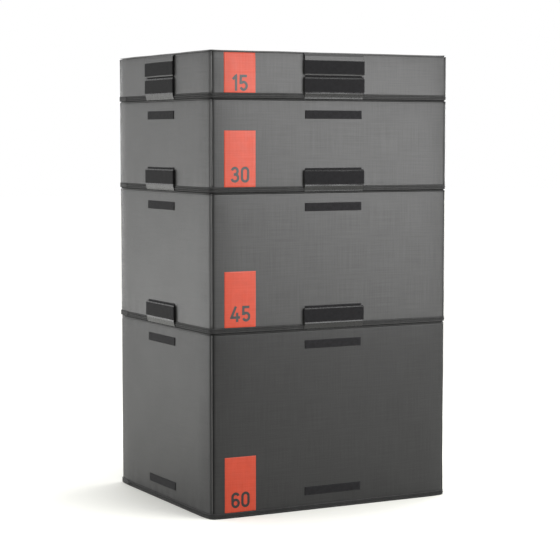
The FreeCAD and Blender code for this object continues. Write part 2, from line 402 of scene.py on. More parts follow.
def stitches(parts, points, normals, pitch=STITCH_PITCH, length=STITCH_LENGTH):
    """Lays stitches of thread along a line on a surface."""
    spans = running(points)
    count = int(spans[-1] / pitch)
    pitch = spans[-1] / count
    half = length / 2
    cell = 0
    for k in range(count):
        s = (k + 0.5) * pitch
        while cell < len(points) - 2 and spans[cell + 1] < s:
            cell += 1
        t = (s - spans[cell]) / max(spans[cell + 1] - spans[cell], TINY)
        middle = points[cell].lerp(points[cell + 1], t)
        ahead = (points[cell + 1] - points[cell]).normalized()
        normal = normals[cell]
        low = normal * -STITCH_SUNK
        across = normal.cross(ahead).normalized() * STITCH_WIDTH / 2
        verts = [middle - ahead * half + low, middle + ahead * half + low]
        for shoulder in (-STITCH_SHOULDER, STITCH_SHOULDER):
            base = middle + ahead * half * shoulder
            verts += [base - across + low, base + normal * STITCH_PROUD, base + across + low]
        parts.add([tuple(v) for v in verts], STITCH_FACES, [(0.0, 0.0)] * len(verts))


# Materials

THREAD_SCALE = 260.0
THREAD_STREAK = 0.03
THREAD_SPAN = (0.7, 1.3)
WEAVE_PITCH = 1.7 * MM
NOISE_SPAN = (0.3, 0.7)  # most of a noise texture's values lie in it
FULL = (0.0, 1.0)
COLOUR = "Base Color"
GLOSS = "Specular IOR Level"
ROUGH = "Roughness"


class Nodes:
    """Adds nodes to a node tree."""

    def __init__(self, owner):
        owner.use_nodes = True
        self.tree = owner.node_tree

    def node(self, kind, links=None, **settings):
        made = self.tree.nodes.new(kind)
        for key, value in settings.items():
            setattr(made, key, value)
        for socket, value in (links or {}).items():
            target = made.inputs[socket]
            if isinstance(value, bpy.types.NodeSocket):
                self.tree.links.new(value, target)
            else:
                target.default_value = value
        return made

    def math(self, operation, a, b=0.0):
        return self.node("ShaderNodeMath", {0: a, 1: b}, operation=operation).outputs[0]


class Shader(Nodes):
    """A node material built around one Principled shader."""

    def __init__(self, name, roughness, coords="UV", **fixed):
        self.material = bpy.data.materials.new(name)
        super().__init__(self.material)
        self.shader = self.tree.nodes["Principled BSDF"]
        self.shader.inputs[ROUGH].default_value = roughness
        for socket, value in fixed.items():
            self.shader.inputs[socket.replace("_", " ")].default_value = value
        self.coords = self.node("ShaderNodeTexCoord").outputs[coords]

    def drive(self, socket, source):
        self.tree.links.new(source, self.shader.inputs[socket])

    def noise(self, scale, detail=3.0, stretch=(1, 1, 1)):
        vector = self.node("ShaderNodeMapping", {"Vector": self.coords, "Scale": stretch}).outputs[0]
        links = {"Vector": vector, "Scale": scale, "Detail": detail, "Roughness": 0.55}
        return self.node("ShaderNodeTexNoise", links).outputs[0]

    def threads(self):
        """Streaks of thicker thread across and down the cloth."""
        across = self.noise(THREAD_SCALE, 2.0, (1, THREAD_STREAK, 1))
        down = self.noise(THREAD_SCALE, 2.0, (THREAD_STREAK, 1, 1))
        return self.math("ADD", across, down)

    def weave(self, pitch):
        """Height of a plain weave: threads that pass over and under each other."""
        split = self.node("ShaderNodeSeparateXYZ", {0: self.coords})
        turn = 2 * math.pi / pitch
        waves = [self.math("SINE", self.math("MULTIPLY", split.outputs[k], turn)) for k in (0, 1)]
        return self.math("MULTIPLY", *waves)

    def ramp(self, value, span, target):
        """A value moved from one range to another, and held within it."""
        return self.node("ShaderNodeMapRange", dict(enumerate([value, *span, *target]))).outputs[0]

    def tint(self, value, dark, light):
        """A colour between two, each a colour or a socket, by a value from 0 to 1."""
        first, second = (c if isinstance(c, bpy.types.NodeSocket) else (*c, 1) for c in (dark, light))
        return self.node("ShaderNodeMix", {0: value, 6: first, 7: second}, data_type="RGBA").outputs[2]

    def mottled(self, scale, detail, span, dark, light):
        """Colours the shader in patches between two greys, and returns the patches' value."""
        patch = self.noise(scale, detail)
        self.drive(COLOUR, self.tint(self.ramp(patch, span, FULL), grey(dark), grey(light)))
        return patch

    def bump(self, layers):
        """Stacks bump layers, each a height and its depth in metres."""
        normal = None
        for height, depth in layers:
            links = {"Height": height, "Distance": depth, "Strength": 1.0}
            if normal is not None:
                links["Normal"] = normal
            normal = self.node("ShaderNodeBump", links).outputs[0]
        self.drive("Normal", normal)


def grey(value):
    return (value, value, value)


def cool(value):
    return (value, 0.97 * value, 1.08 * value)


def vinyl(name, tone, gloss, roughness=0.42, seams=False):
    """Coated fabric, with streaks of thicker thread and soft mottling; painted shade, darker and less glossy,
    along the seams that the seam attribute marks.
    """
    s = Shader(name, roughness)
    mottle = s.noise(5.0, 4.0)
    threads = s.threads()
    shade = s.math("ADD", s.ramp(mottle, NOISE_SPAN, (0.0, 0.5)), s.ramp(threads, THREAD_SPAN, (0.0, 0.5)))
    colour = s.tint(shade, grey(tone * 0.88), grey(tone * 1.1))
    sheen = s.ramp(threads, THREAD_SPAN, (gloss * 0.86, gloss * 1.14))
    # Painted shade along the seams: darker colour and less gloss where the seam attribute is high
    if seams:
        near = s.node("ShaderNodeAttribute", attribute_name="seam").outputs["Fac"]
        colour = s.tint(near, colour, grey(tone * 0.18))
        sheen = s.math("MULTIPLY", sheen, s.ramp(near, FULL, (1.0, 0.1)))
    s.drive(COLOUR, colour)
    s.drive(GLOSS, sheen)
    s.drive(ROUGH, s.ramp(mottle, NOISE_SPAN, (roughness - 0.02, roughness + 0.03)))
    s.bump([(s.noise(9.0, 2.0), 0.35 * MM), (threads, 0.05 * MM), (s.weave(WEAVE_PITCH), 0.05 * MM)])
    return s.material


def flap_vinyl(name):
    """Thin glossy coated fabric, creased by folding."""
    s = Shader(name, 0.28, Specular_IOR_Level=0.36)
    crease = s.noise(22.0, 2.0, (0.3, 1, 1))
    # Near-black: partly the vinyl's own colour, partly painted shade for the dark surroundings its gloss
    # would reflect
    s.drive(COLOUR, s.tint(s.ramp(crease, NOISE_SPAN, FULL), grey(0.007), grey(0.012)))
    s.drive(ROUGH, s.ramp(s.noise(60.0), NOISE_SPAN, (0.24, 0.32)))
    s.bump([(crease, 0.03 * MM), (s.weave(WEAVE_PITCH), 0.02 * MM)])
    return s.material


def hook_pile(name, tone, scale):
    """Hook-and-loop tape: a dense dull pile of fine loops."""
    s = Shader(name, 0.9, Specular_IOR_Level=0.15, Sheen_Weight=0.08, Sheen_Roughness=0.5)
    loops = s.node("ShaderNodeTexVoronoi", {"Vector": s.coords, "Scale": scale}).outputs["Distance"]
    patch = s.noise(70.0, 4.0)
    shade = s.math("ADD", s.ramp(loops, (0.0, 0.7), (0.6, 0.0)), s.ramp(patch, NOISE_SPAN, (0.0, 0.4)))
    s.drive(COLOUR, s.tint(shade, cool(tone * 0.5), cool(tone * 1.5)))
    s.bump([(patch, 0.5 * MM), (loops, -0.35 * MM)])
    return s.material


def tape_cloth(name, tone):
    """Woven tape with a herringbone of fine ribs."""
    s = Shader(name, 0.75, Specular_IOR_Level=0.3)
    split = s.node("ShaderNodeSeparateXYZ", {0: s.coords})
    slant = s.math("ADD", split.outputs[0], s.math("PINGPONG", split.outputs[1], 1.5 * MM))
    rib = s.math("SINE", s.math("MULTIPLY", slant, 2 * math.pi / (1.1 * MM)))
    patch = s.mottled(60.0, 4.0, (0.25, 0.75), tone * 0.7, tone * 1.25)
    s.bump([(patch, 0.3 * MM), (rib, 0.08 * MM)])
    return s.material


def plain_hard(name, tone, roughness, metallic=0.0, coords="UV"):
    """Moulded or painted pieces, with faint wear."""
    s = Shader(name, roughness, coords, Metallic=metallic)
    patch = s.mottled(300.0, 5.0, (0.3, 0.75), tone * 0.6, tone * 1.6)
    s.drive(ROUGH, s.ramp(patch, NOISE_SPAN, (roughness - 0.08, roughness + 0.12)))
    s.bump([(patch, 0.04 * MM)])
    return s.material


def printed(name, colour):
    """Ink printed on the coated fabric, thin enough to show its weave."""
    s = Shader(name, 0.42)
    patch = s.noise(40.0, 5.0)
    threads = s.threads()
    shade = s.math("ADD", s.ramp(patch, NOISE_SPAN, (0.0, 0.6)), s.ramp(threads, THREAD_SPAN, (0.0, 0.4)))
    s.drive(COLOUR, s.tint(shade, [c * 0.9 for c in colour], [c * 1.1 for c in colour]))
    s.drive(GLOSS, s.ramp(threads, THREAD_SPAN, (0.36, 0.54)))
    s.drive(ROUGH, s.ramp(patch, NOISE_SPAN, (0.4, 0.48)))
    s.bump([(threads, 0.05 * MM), (s.weave(WEAVE_PITCH), 0.05 * MM)])
    return s.material


def base_cloth(name, tone):
    """Tough base sheet with a grid of grip dots."""
    s = Shader(name, 0.7, Specular_IOR_Level=0.3)
    dots = s.ramp(s.weave(5 * MM), (0.2, 0.8), FULL)
    patch = s.mottled(25.0, 5.0, NOISE_SPAN, tone * 0.75, tone * 1.25)
    s.bump([(patch, 0.4 * MM), (dots, 0.3 * MM)])
    return s.material


COVER = {}
FIGURE = {}
# Each cover's vinyl shows the painted seam shade; the numbers' vinyl has none
for name, look in LOOKS.items():
    COVER[name] = vinyl(f"cover_{look.number}", look.tone, look.gloss, seams=True)
    FIGURE[name] = vinyl(f"figure_{look.number}", look.tone, look.gloss)
PRINT = printed("print", (0.45, 0.04, 0.011))
# Near-black vinyl for the welts that lie under another box: painted shade for the gap between boxes
WELT_IN_SHADE = vinyl("binding", 0.012, 0.18, 0.4)
PIPING = vinyl("piping", 0.045, 0.4, 0.34)
# The bottom flaps' vinyl is near-black partly as painted shade for dark reflected surroundings
TONGUE = flap_vinyl("flap_vinyl")
HANGING = vinyl("hanging_flap", 0.046, 0.36)
LOOP = hook_pile("loop_pile", 0.014, 900.0)
HOOK = hook_pile("hook_pile", 0.01, 700.0)
TAPE = tape_cloth("zip_tape", 0.03)
COIL = plain_hard("zip_coil", 0.018, 0.5)
METAL = plain_hard("slider_metal", 0.08, 0.38, 0.9, "Object")
THREAD = tape_cloth("thread", 0.04)
HEM = tape_cloth("hem", 0.03)
# Near-black base sheet: partly its own colour, partly painted shade, as its rim stands for the dark gap at
# each box's foot
BASE = base_cloth("base_sheet", 0.006)


# Covers


def axis_lines(length, low, high, fine, coarse):
    """Grid lines along one axis: close over the roundings at the ends, wider apart towards the middle."""

    def bend(size):
        angles = [math.pi / 4 * k / ROUND_CELLS for k in range(ROUND_CELLS, -1, -1)]
        return [size * (1 - math.tan(a)) for a in angles]

    inner = length - low - high
    stops = [0.0]
    while stops[-1] < inner:
        end = min(stops[-1], inner - stops[-1])
        stops.append(stops[-1] + min(coarse, fine + CELL_GROWTH * max(end, 0)))
    scale = inner / stops[-1]
    middle = [low + s * scale for s in stops[1:-1]]
    return np.array([*bend(low), *middle, *[length - b for b in reversed(bend(high))]])


class Shell:
    """The skin of a rounded block as a grid, with its own coordinates kept for each point."""

    def __init__(self, box, cell, fine, coarse):
        width = 2 * (box.half_width - SEAM_INSET)
        depth = 2 * (box.half_depth - SEAM_INSET)
        self.size = np.array([width, depth, box.height - BASE_THICKNESS])
        self.lines = [
            axis_lines(self.size[0], CORNER, CORNER, cell, cell),
            axis_lines(self.size[1], CORNER, CORNER, cell, cell),
            axis_lines(self.size[2], FOOT_ROUNDING, TOP_ROUNDING, fine, coarse),
        ]
        self.last = [len(line) - 1 for line in self.lines]
        self.index = {}
        self.faces = []
        self.kinds = []
        for axis in range(3):
            for end in (0, self.last[axis]):
                self.add_side(axis, end)
        keys = np.array(list(self.index))
        self.flat = np.stack([self.lines[k][keys[:, k]] for k in range(3)], axis=1)
        self.away = np.minimum(self.flat, self.size - self.flat)
        self.shape()

    def add_side(self, axis, end):
        """Faces of one side of the block, turned outwards."""
        a, b = (axis + 1) % 3, (axis + 2) % 3
        for i in range(self.last[a]):
            for j in range(self.last[b]):
                corners = [(i, j), (i + 1, j), (i + 1, j + 1), (i, j + 1)]
                if end == 0:
                    corners.reverse()
                # A point's key is its line on each axis, in the axes' own order
                keys = [((end, p, q) * 2)[3 - axis : 6 - axis] for p, q in corners]
                self.faces.append([self.index.setdefault(key, len(self.index)) for key in keys])
                self.kinds.append(axis)

    def shape(self):
        """Rounds the block: each point is pushed out from the block inside the roundings."""
        low = np.array([CORNER, CORNER, FOOT_ROUNDING])
        high = np.array([CORNER, CORNER, TOP_ROUNDING])
        core = np.clip(self.flat, low, self.size - high)
        away = self.flat - core
        radii = np.where(away < 0, low, high)
        unit = away / radii
        unit /= np.maximum(np.linalg.norm(unit, axis=1, keepdims=True), TINY)
        self.unit = unit
        self.round = core + unit * radii

    def placed(self, box):
        """The rounded block's points in the frame, with its corners drawn in."""
        points = self.round - self.size / 2
        x, y = warp(box, points[:, 0], points[:, 1])
        return np.stack([x, y, self.round[:, 2] + box.foot + BASE_THICKNESS], axis=1)

    def side_grid(self, axis, end):
        """Numbers of the points on one side, by line along the side and line up."""
        along, up = range(self.last[1 - axis] + 1), range(self.last[2] + 1)
        keys = [[(i, end, k) if axis else (end, i, k) for k in up] for i in along]
        return np.array([[self.index[key] for key in row] for row in keys])


def swell(box, shell):
    """Lets air pressure push out a sewn cover, held along its seams, and returns how far each point moves."""
    points = shell.placed(box)
    mesh = bpy.data.meshes.new("swell")
    mesh.from_pydata([tuple(p) for p in points], [], shell.faces)
    cloth = bpy.data.objects.new("swell", mesh)
    scene = bpy.context.scene
    scene.collection.objects.link(cloth)
    to_seam = np.sort(shell.away, axis=1)[:, 1]
    level = np.abs(shell.unit[:, 2]) > FACING
    held = (to_seam < HELD_REACH) | level
    pins = cloth.vertex_groups.new(name="pins")
    pins.add([int(i) for i in np.nonzero(held)[0]], 1.0, "REPLACE")
    settings = cloth.modifiers.new("cloth", "CLOTH").settings
    settings.quality = 4
    settings.mass = 0.4
    settings.vertex_group_mass = "pins"
    settings.tension_stiffness = 25
    settings.compression_stiffness = 25
    settings.bending_stiffness = 2
    settings.use_pressure = True
    settings.uniform_pressure_force = 4
    settings.effector_weights.gravity = 0
    for number in range(1, SWELL_FRAMES + 1):
        scene.frame_set(number)
    result = cloth.evaluated_get(bpy.context.evaluated_depsgraph_get()).data
    moved = np.empty(len(points) * 3)
    result.vertices.foreach_get("co", moved)
    bpy.data.objects.remove(cloth)
    bpy.data.meshes.remove(mesh)
    scene.frame_set(1)
    return moved.reshape(-1, 3) - points


def lookup(lines_u, lines_v, values, u, v):
    """Values between a grid's lines."""
    i = np.clip(np.searchsorted(lines_u, u) - 1, 0, len(lines_u) - 2)
    j = np.clip(np.searchsorted(lines_v, v) - 1, 0, len(lines_v) - 2)
    s = (u - lines_u[i]) / (lines_u[i + 1] - lines_u[i])
    t = (v - lines_v[j]) / (lines_v[j + 1] - lines_v[j])
    low = values[i, j] * (1 - s) + values[i + 1, j] * s
    high = values[i, j + 1] * (1 - s) + values[i + 1, j + 1] * s
    return low * (1 - t) + high * t


def crown_fields(box):
    """How full each side of a cover is, from 0 at its seams to 1 at its fullest."""
    coarse = Shell(box, SWELL_CELL, SWELL_CELL, SWELL_CELL)
    moved = swell(box, coarse)
    span = np.clip(coarse.away - CORNER, 0, None)
    fields = {}
    for axis in (0, 1):
        for end in (0, coarse.last[axis]):
            grid = coarse.side_grid(axis, end)
            if moved is None:
                fullness = (span[:, 1 - axis] * span[:, 2])[grid]
            else:
                fullness = np.abs(moved[:, axis])[grid]
            fullness = fullness / fullness.max()
            full = (1 - np.exp(-CROWN_SHARPNESS * fullness)) / (1 - math.exp(-CROWN_SHARPNESS))
            fields[axis, end > 0] = (coarse.lines[1 - axis], coarse.lines[2], full)
    return fields


def corner_run(distance):
    """Distance over the surface from a rounded corner's middle, by the distance on the unrounded block."""
    bend = np.arctan(np.maximum(CORNER - distance, 0) / CORNER)
    return CORNER * (math.pi / 4 - bend) + np.maximum(distance - CORNER, 0)


def bell(distance, reach):
    """1 at no distance, falling smoothly to nothing past the reach."""
    return np.exp(-((distance / reach) ** 2))


def by_corner(box, p):
    """How near a point in plan is to a corner, from 0 to 1."""
    return bell(math.hypot(box.half_width - abs(p[0]), box.half_depth - abs(p[1])), CORNER_REACH)


def edge_lift(box, p):
    """How far the free top edge of the stack stands up above a straight line."""
    if not box.free_top:
        return 0.0
    return LIFT + LIFT_WAVE * ripple(p[0], p[1], 0, LIFT_LENGTH, LIFT_SEED) + LIFT * by_corner(box, p)


def stand_out(box, shell):
    """How far each point of a cover's sides stands out by the filling."""
    out = np.zeros(len(shell.flat))
    for (axis, end), (lines_u, lines_v, values) in crown_fields(box).items():
        sign = 1 if end else -1
        mask = shell.unit[:, axis] * sign > SQUARELY
        full = lookup(lines_u, lines_v, values, shell.flat[mask, 1 - axis], shell.flat[mask, 2])
        out[mask] = np.maximum(out[mask], full * SEAM_INSET)
    return out


def puckered(kind, x, y, z, seed, distance):
    """Depth of a pucker at a point that is some distance from its seam."""
    return kind.depth * ripple(x, y, z, kind.length, seed) * math.exp(-distance / kind.fade)


def painted_seam_shade(shell, points, run, side, under_top):
    """How much painted shade each point gets for lying by a sewn edge or under the top edge; less at the two
    corners that catch the light. One panel of each corner laps over the other.
    """
    turned = points[:, 0] * points[:, 1]
    lapped = np.where(shell.away[:, 0] < shell.away[:, 1], turned < 0, turned > 0)
    reach = np.where(lapped, LAPPED_REACH, PLAIN_REACH)
    depth = np.where(lapped, 1.0, PLAIN_SHADE) * np.where(turned > 0, 1.0, LIT_CORNER_SHADE)
    level = shell.unit[:, 2] > FACING
    to_edge = np.where(level, np.minimum(shell.away[:, 0], shell.away[:, 1]), under_top)
    return np.maximum(bell(run, reach) * depth * side, TOP_EDGE_SHADE * bell(to_edge, TOP_EDGE_REACH))


def make_cover(box):
    """The sewn cover over its foam: full sides, corners drawn in, and puckers by the seams."""
    shell = Shell(box, CELL, FINE_CELL, COARSE_CELL)
    points = shell.placed(box)
    out = stand_out(box, shell)
    seed = box.height * 10
    z = shell.flat[:, 2]
    run = corner_run(np.maximum(shell.away[:, 0], shell.away[:, 1]))
    side = np.maximum(np.abs(shell.unit[:, 0]), np.abs(shell.unit[:, 1])) > FACING
    over_zip = np.maximum(z - BAND_HEIGHT, 0)
    under_top = shell.size[2] - z
    for i in np.nonzero(side)[0]:
        x, y, h = points[i]
        out[i] += SLOW_WAVE * ripple(x, y, h, SLOW_LENGTH, seed)
        out[i] += puckered(BY_ZIP, x, y, h * PUCKER_STRETCH, seed + 3, over_zip[i])
        out[i] += puckered(BY_TOP, x, y, h * PUCKER_STRETCH, seed + 7, under_top[i])
        out[i] += puckered(BY_CORNER, x * PUCKER_STRETCH, y * PUCKER_STRETCH, h, seed + 11, run[i])
        out[i] -= SEAM_TUCK * bell(run[i], SEAM_TUCK_REACH)
        out[i] -= EDGE_TUCK * bell(under_top[i], EDGE_TUCK_REACH) * by_corner(box, points[i])
        out[i] = min(out[i], SEAM_INSET)
    points[:, :2] += shell.unit[:, :2] * out[:, None]
    for i in np.nonzero(shell.unit[:, 2] > FACING)[0]:
        points[i, 2] -= TOP_LOWERED
        if box.free_top:
            dip = TOP_DIP * (0.5 + 0.5 * ripple(points[i, 0], points[i, 1], 0, TOP_DIP_LENGTH, seed))
            inside = np.minimum(1.0, shell.away[i] / TOP_DIP_MARGIN)
            points[i, 2] -= dip * inside[0] * inside[1]
    for i in np.nonzero(under_top < LIFT_DEPTH)[0]:
        points[i, 2] += edge_lift(box, points[i]) * (1 - under_top[i] / LIFT_DEPTH)
    loop_uv = []
    picks = {0: (1, 2), 1: (0, 2), 2: (0, 1)}
    for face, kind in zip(shell.faces, shell.kinds):
        a, b = picks[kind]
        loop_uv.extend((points[i, a], points[i, b]) for i in face)
    cover = mesh_object(f"{box.name}_cover", points, shell.faces, COVER[box.name], loop_uv=loop_uv)
    # Painted shade by the seams and under the top edge, kept on each point for the cover's material
    seam = painted_seam_shade(shell, points, run, side, under_top)
    attribute = cover.data.attributes.new("seam", "FLOAT", "POINT")
    attribute.data.foreach_set("value", seam.astype(np.float32))
    box.surface = BVHTree.FromPolygons([tuple(p) for p in points], shell.faces)
    settle(cover, box.name, "cover_vinyl", "cover_panels", "foam_core")


# Binding along the seams

WELT_BELOW_TOP = 2.7 * MM
PIPING_BELOW_TOP = 3 * MM
PIPING_LAP = 1 * MM
PIPING_STEP = 12 * MM
PIPING_SIDES = 12
PIPING_SWAY = 0.5 * MM
PIPING_SWAY_LENGTH = 90 * MM
ROW_END = 26 * MM  # the long rows of stitches end this far from the corners
UPRIGHT_ROW = 14 * MM
ROW_BELOW_TOP = 11 * MM
ROW_ON_TOP = 13 * MM
LONG_ROW_POINTS = 60
UPRIGHT_ROW_POINTS = 40


def wavy(box, seed, out, rise, scale=120 * MM, tuck=0.0):
    """A gentle drift of a sewn edge along its run; it tucks in at the corners."""

    def drift(p):
        inward = tuck * by_corner(box, p)
        along = ripple(p[0], p[1], 0, scale, seed)
        return out * along - inward, rise * ripple(p[0], p[1], 0.5, scale, seed + 5)

    return drift


def make_binding(box):
    """Piping along the top edges and down the corner seams, with rows of stitches beside it."""
    seed = box.height * 7
    sway = wavy(box, seed, out=0.4 * MM, rise=0.25 * MM, tuck=EDGE_TUCK)

    def drift(p):
        out, rise = sway(p)
        return out, rise + edge_lift(box, p)

    edge = Parts()
    bead = oval(0.6 * MM, box.top - WELT_BELOW_TOP, half_out=2.2 * MM, half_z=2.4 * MM)
    edge.add(*plan_sweep(*plan_path(box, -SEAM_INSET), bead, True, drift))
    # The free top welt takes the piping vinyl; a welt under another box takes the near-black one, as painted
    # shade
    edge.build(box.name, "welt", PIPING if box.free_top else WELT_IN_SHADE, "binding", "edge_binding")

    bottom = box.foot + BAND_HEIGHT - PIPING_LAP
    top = box.top - PIPING_BELOW_TOP
    levels = np.linspace(bottom, top, int((top - bottom) / PIPING_STEP))
    inset = SEAM_INSET + CORNER - CORNER * math.cos(math.pi / 4)
    angles = np.linspace(0, 2 * math.pi, PIPING_SIDES, endpoint=False)
    cord = box.look.cord
    cords = Parts()
    for sx, sy in ((1, 1), (1, -1), (-1, 1), (-1, -1)):
        cx, cy = warp(box, sx * (box.half_width - inset), sy * (box.half_depth - inset))
        rings = []
        for z in levels:
            sideways = PIPING_SWAY * ripple(sx, sy, z, PIPING_SWAY_LENGTH, seed)
            x, y = cx + sideways, cy - sideways
            rings.append([(x + cord * math.cos(a), y + cord * math.sin(a), z) for a in angles])
        cords.add(*sweep(rings, False), tube_uv(rings, levels - bottom))
    cords.build(box.name, "piping", PIPING, "binding")

    thread = Parts()
    levels = np.linspace(bottom + 4 * MM, top - 6 * MM, UPRIGHT_ROW_POINTS)
    for side, (_, normal) in SIDES.items():
        corner = box.half_width + box.half_depth - box.crest(side)
        for along in (UPRIGHT_ROW - corner, corner - UPRIGHT_ROW):
            row = [box.on(side, along, 0, z) for z in levels]
            stitches(thread, row, [normal] * len(row))
        places = np.linspace(ROW_END - corner, corner - ROW_END, LONG_ROW_POINTS)
        row = [box.on(side, a, 0, box.top - ROW_BELOW_TOP) for a in places]
        stitches(thread, row, [normal] * len(row))
        row = [box.over(box.at(side, a, -ROW_ON_TOP, 0)) for a in places]
        stitches(thread, row, [UP] * len(row))
    thread.build(box.name, "seam_thread", THREAD, "binding")


# Foot of each box: the zip and the base sheet with its hem

# Bands: bottom and top above the foot, how far out they stand, and the bevel of their edges
Band = namedtuple("Band", "bottom top proud bevel")
ZIP_BANDS = (
    Band(BASE_THICKNESS + 0.2 * MM, COIL_BOTTOM - 0.2 * MM, TRIM_PROUD, 0.8 * MM),
    Band(COIL_TOP + 0.2 * MM, BAND_HEIGHT + 0.4 * MM, TRIM_PROUD, 0.8 * MM),
    Band(COIL_BOTTOM, COIL_TOP, 0.3 * MM, 0.4 * MM),
)
HEM_BAND = Band(BASE_THICKNESS, BAND_HEIGHT + 0.5 * MM, 1.2 * MM, 0.9 * MM)
BAND_INNER = -3.0 * MM
TOOTH_PITCH = 2.5 * MM
TOOTH_SHIFT = 0.5 * MM
# A tooth's half length and half height, and how far it stands out, at its root and at its tip
TOOTH_ENDS = ((0.9 * MM, 2.3 * MM, 0.2 * MM), (0.55 * MM, 1.6 * MM, 1.7 * MM))
TOOTH_FACES = [(4, 5, 6, 7), (0, 1, 5, 4), (1, 2, 6, 5), (2, 3, 7, 6), (3, 0, 4, 7), (3, 2, 1, 0)]
ZIP_ROW = 1.8 * MM
HEM_LAP = 1 * MM
# Rolled edge of the base sheet: offsets outwards and heights
BASE_RIM = [(-4, 0.0), (-0.6, 0.0), (0.3, 0.3), (0.6, 0.75), (0.3, 1.2), (-0.6, 1.45), (-4, 1.45)]


def split_path(box, zipped):
    """The part of the plan path that the zip runs along, or the part behind its ends."""
    path, normals = plan_path(box, 0.0)
    if zipped:
        keep = path[:, 1] < ZIP_END
    else:
        half = len(path) // 2
        path, normals = np.roll(path, half, axis=0), np.roll(normals, half, axis=0)
        keep = path[:, 1] > ZIP_END
    path, normals = path[keep], normals[keep]
    path[[0, -1], 1] = ZIP_END if zipped else ZIP_END - HEM_LAP
    return path, normals


def band_drift(box):
    """The drift of the band round the foot, which the zip and the hem share."""
    return wavy(box, box.height * 5, out=0.12 * MM, rise=0.3 * MM, scale=90 * MM)


def band_profile(box, band):
    """A profile: a flat tape with rounded outer edges and a slight bulge."""
    bottom, top = box.foot + band.bottom, box.foot + band.top
    outer, bevel = band.proud, band.bevel
    return [
        (BAND_INNER, bottom),
        (outer - bevel, bottom),
        (outer, bottom + bevel),
        (outer + bevel / 8, (bottom + top) / 2),
        (outer, top - bevel),
        (outer - bevel, top),
        (BAND_INNER, top),
    ]


def make_zip(box):
    """The zip round the foot: two sewn tapes with a coil of teeth between them, and the slider."""
    path, normals = split_path(box, True)
    drift = band_drift(box)
    parts = Parts()
    for band in ZIP_BANDS:
        parts.add(*plan_sweep(path, normals, band_profile(box, band), False, drift))
    parts.build(box.name, "zip_tapes", TAPE, "zip_tape", "zip")

    make_teeth(box, path, normals, drift)

    thread = Parts()
    row = []
    facing = []
    for p, n in zip(path[::2], normals[::2]):
        out, rise = drift(p)
        row.append(Vector((*(p + n * (TRIM_PROUD + out)), box.foot + BAND_HEIGHT - ZIP_ROW + rise)))
        facing.append(Vector((n[0], n[1], 0)))
    stitches(thread, row, facing)
    thread.build(box.name, "zip_thread", THREAD, "binding")

    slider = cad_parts[f"{box.name}_zip_slider"]
    slider.data.materials.clear()
    slider.data.materials.append(METAL)
    bevel = slider.modifiers.new("edges", "BEVEL")
    bevel.width = 0.2 * MM
    bevel.segments = 2
    bevel.limit_method = "ANGLE"


def make_teeth(box, path, normals, drift):
    """The closed teeth of the zip, from its two sides in turn."""
    teeth = Parts()
    spans = running(path)
    middle = box.foot + (COIL_BOTTOM + COIL_TOP) / 2
    for k in range(int(spans[-1] / TOOTH_PITCH)):
        s = (k + 0.5) * TOOTH_PITCH
        cell = min(int(np.searchsorted(spans, s)), len(path) - 1)
        t = (s - spans[cell - 1]) / (spans[cell] - spans[cell - 1])
        p = path[cell - 1] * (1 - t) + path[cell] * t
        n = normals[cell]
        ahead = np.array([-n[1], n[0]])
        out, rise = drift(p)
        z = middle + (TOOTH_SHIFT if k % 2 else -TOOTH_SHIFT) + rise
        verts = []
        for half_run, half_up, stand in TOOTH_ENDS:
            for a, u in ((-1, -1), (1, -1), (1, 1), (-1, 1)):
                x, y = p + n * (stand + out) + ahead * a * half_run
                verts.append((x, y, z + u * half_up))
        teeth.add(verts, TOOTH_FACES, [(v[0] + v[1], v[2]) for v in verts])
    teeth.build(box.name, "zip_teeth", COIL, "zip_tape", smooth=False)


def make_base(box):
    """The base sheet, with its hem turned up round the back between the ends of the zip."""
    path, normals = plan_path(box, 0.0)
    profile = [(o * MM, box.foot + z * MM) for o, z in BASE_RIM]
    size = len(profile)
    verts, faces, _ = plan_sweep(path, normals, profile, True, wavy(box, 0, out=0, rise=0, tuck=EDGE_TUCK))
    # Two flat panels take the place of the rim's inner wall
    faces = [f for f in faces if {f[0] % size, f[3] % size} != {0, size - 1}]
    faces.append([k * size for k in range(len(path) - 1, -1, -1)])
    faces.append([k * size + size - 1 for k in range(len(path))])
    parts = Parts()
    parts.add(verts, faces, [(v[0], v[1]) for v in verts])
    sheet_faces = len(parts.faces)
    parts.add(*plan_sweep(*split_path(box, False), band_profile(box, HEM_BAND), False, band_drift(box)))
    base = parts.build(box.name, "base", BASE, "base_sheet", "base_panel")
    base.data.materials.append(HEM)
    for polygon in base.data.polygons[sheet_faces:]:
        polygon.material_index = 1


# Loop strips

STRIP = Slab(STRIP_WIDTH, STRIP_HEIGHT, 1.9 * MM, 0.9 * MM, 40, 7, 0.4 * MM)
STRIP_ROW = 2.2 * MM
STRIP_ROW_OUT = 1.85 * MM
STRIP_WAVE = 0.5 * MM
STRIP_WAVE_LENGTH = 110 * MM
PILE_WAVE = 0.25 * MM
PILE_LENGTH = 12 * MM
ROW_STEP = 8 * MM


def perimeter(form, inset):
    """A closed line of points just inside a slab's edge."""
    u, v = form.width / 2 - inset, form.height / 2 - inset
    corners = [(-u, -v), (u, -v), (u, v), (-u, v), (-u, -v)]
    line = []
    for a, b in zip(corners, corners[1:]):
        line += between(a, b, ROW_STEP, 2)
    return [*line, corners[0]]


def pile(u, v, w, seed):
    """Unevenness of a pile's face; the backing is flat."""
    return PILE_WAVE * ripple(u, v, w, PILE_LENGTH, seed) if w > 0 else 0.0


